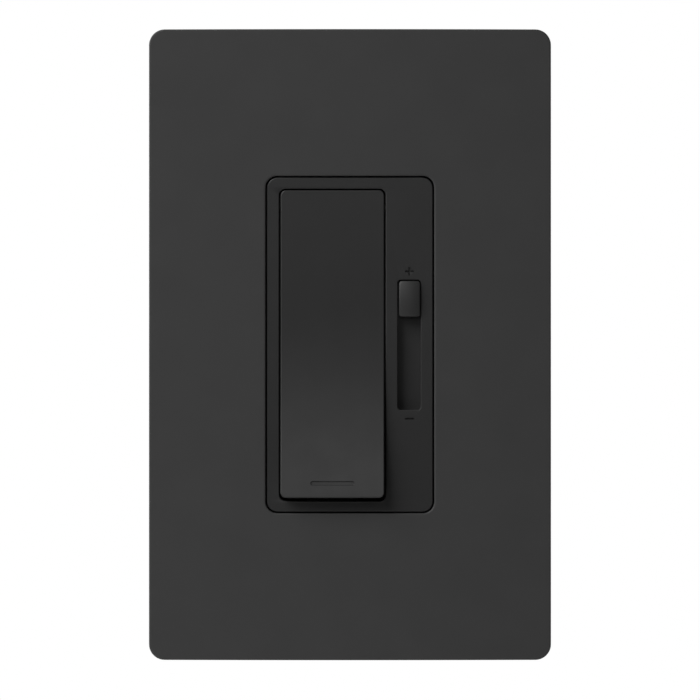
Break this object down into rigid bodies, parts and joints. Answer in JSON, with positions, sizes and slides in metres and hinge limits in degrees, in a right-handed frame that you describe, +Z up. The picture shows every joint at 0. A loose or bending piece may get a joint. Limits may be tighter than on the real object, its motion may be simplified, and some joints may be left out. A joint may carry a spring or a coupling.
{
  "type": "dimmer switch",
  "caption": "Wall-box dimmer with a wide press paddle, a short slide control in a slot beside it, and a screwless rectangular wall plate.",
  "frame": {"origin": "midway between the two screws that hold the strap to the wall box, in the plane of the wall surface", "axes": "+Z up along the long side of the plate, +Y into the wall, the face of the plate towards -Y"},
  "size_m": [0.0798, 0.04, 0.125],
  "materials": {
    "plate_graphite": "fine satin moulded thermoplastic",
    "face_graphite": "satin moulded thermoplastic",
    "carrier_black": "matt moulded nylon",
    "film_black": "calendered insulating film",
    "housing_black": "matt glass-filled moulded plastic",
    "strap_aluminium": "rolled sheet",
    "zinc_steel": "zinc-plated screws",
    "ground_green": "green dyed plating",
    "white_nylon": "moulded nylon",
    "brass": "stamped brass",
    "board_green": "solder-masked laminate",
    "switch_grey": "moulded switch body",
    "spring_steel": "drawn spring wire",
    "silver_contact": "silver alloy contact",
    "pot_steel": "tinned pressed steel",
    "phenolic": "phenolic laminate with a resistive track",
    "package_black": "moulded epoxy",
    "tinned_metal": "tinned copper",
    "insulator_pad": "thermally conductive sheet",
    "ferrite": "sintered ferrite with a clear coat",
    "winding_copper": "enamelled copper wire",
    "film_yellow": "epoxy-filled plastic case",
    "sleeve_dark": "shrink sleeve",
    "disc_blue": "dipped epoxy",
    "ceramic_white": "glazed ceramic"
  },
  "bodies": {
    "device": {"wall_plate": "plate_graphite", "plate_carrier": "carrier_black", "carrier_screws": "zinc_steel", "face_frame": "face_graphite", "insulating_sheet": "film_black", "mounting_strap": "strap_aluminium", "box_screws": "zinc_steel", "screw_retainers": "white_nylon", "ground_screw": "ground_green", "housing": "housing_black", "housing_screws": "zinc_steel", "terminal_plates": "brass", "terminal_screws": "brass", "circuit_board": "board_green", "board_screws": "zinc_steel", "switch_cover": "switch_grey", "switch_base": "switch_grey", "plunger_spring": "spring_steel", "common_terminal": "brass", "fixed_contacts": "brass", "pot_frame": "pot_steel", "pot_track": "phenolic", "transistor_bodies": "package_black", "transistor_tabs": "tinned_metal", "transistor_leads": "tinned_metal", "insulator_pads": "insulator_pad", "transistor_screws": "zinc_steel", "transistor_nuts": "zinc_steel", "choke_core": "ferrite", "choke_winding": "winding_copper", "film_capacitor": "film_yellow", "electrolytic_capacitor": "sleeve_dark", "surge_disc": "disc_blue", "fuse_tube": "ceramic_white", "control_chip": "package_black", "chip_resistors": "package_black"},
    "paddle": {"paddle": "face_graphite"},
    "switch_plunger": {"switch_plunger": "white_nylon"},
    "slider": {"slider_knob": "face_graphite", "dust_shutter": "face_graphite", "pot_carriage": "white_nylon", "pot_wiper": "brass"},
    "rocker": {"contact_rocker": "brass", "rocker_tips": "silver_contact"}
  },
  "joints": [
    {"name": "paddle_press", "type": "hinge", "parent": "device", "child": "paddle", "pos_m": [-0.00356, -0.0036, 0.0275], "axis": [1, 0, 0], "range_deg": [0, 2], "stiffness_Nm_per_rad": 1.2, "springref_deg": -1.15},
    {"name": "plunger_slide", "type": "slide", "parent": "device", "child": "switch_plunger", "axis": [0, 1, 0], "range_m": [0, 0.0016], "deforming": ["plunger_spring"]},
    {"name": "slider_travel", "type": "slide", "parent": "device", "child": "slider", "axis": [0, 0, -1], "range_m": [0, 0.0181]},
    {"name": "contact_toggle", "type": "hinge", "parent": "device", "child": "rocker", "pos_m": [-0.00356, 0.0064, -0.0235], "axis": [0, 0, 1], "range_deg": [-12, 0]}
  ],
  "couplings": [
    {"joint": "plunger_slide", "follows": "paddle_press", "m_per_rad": 0.044}
  ]
}
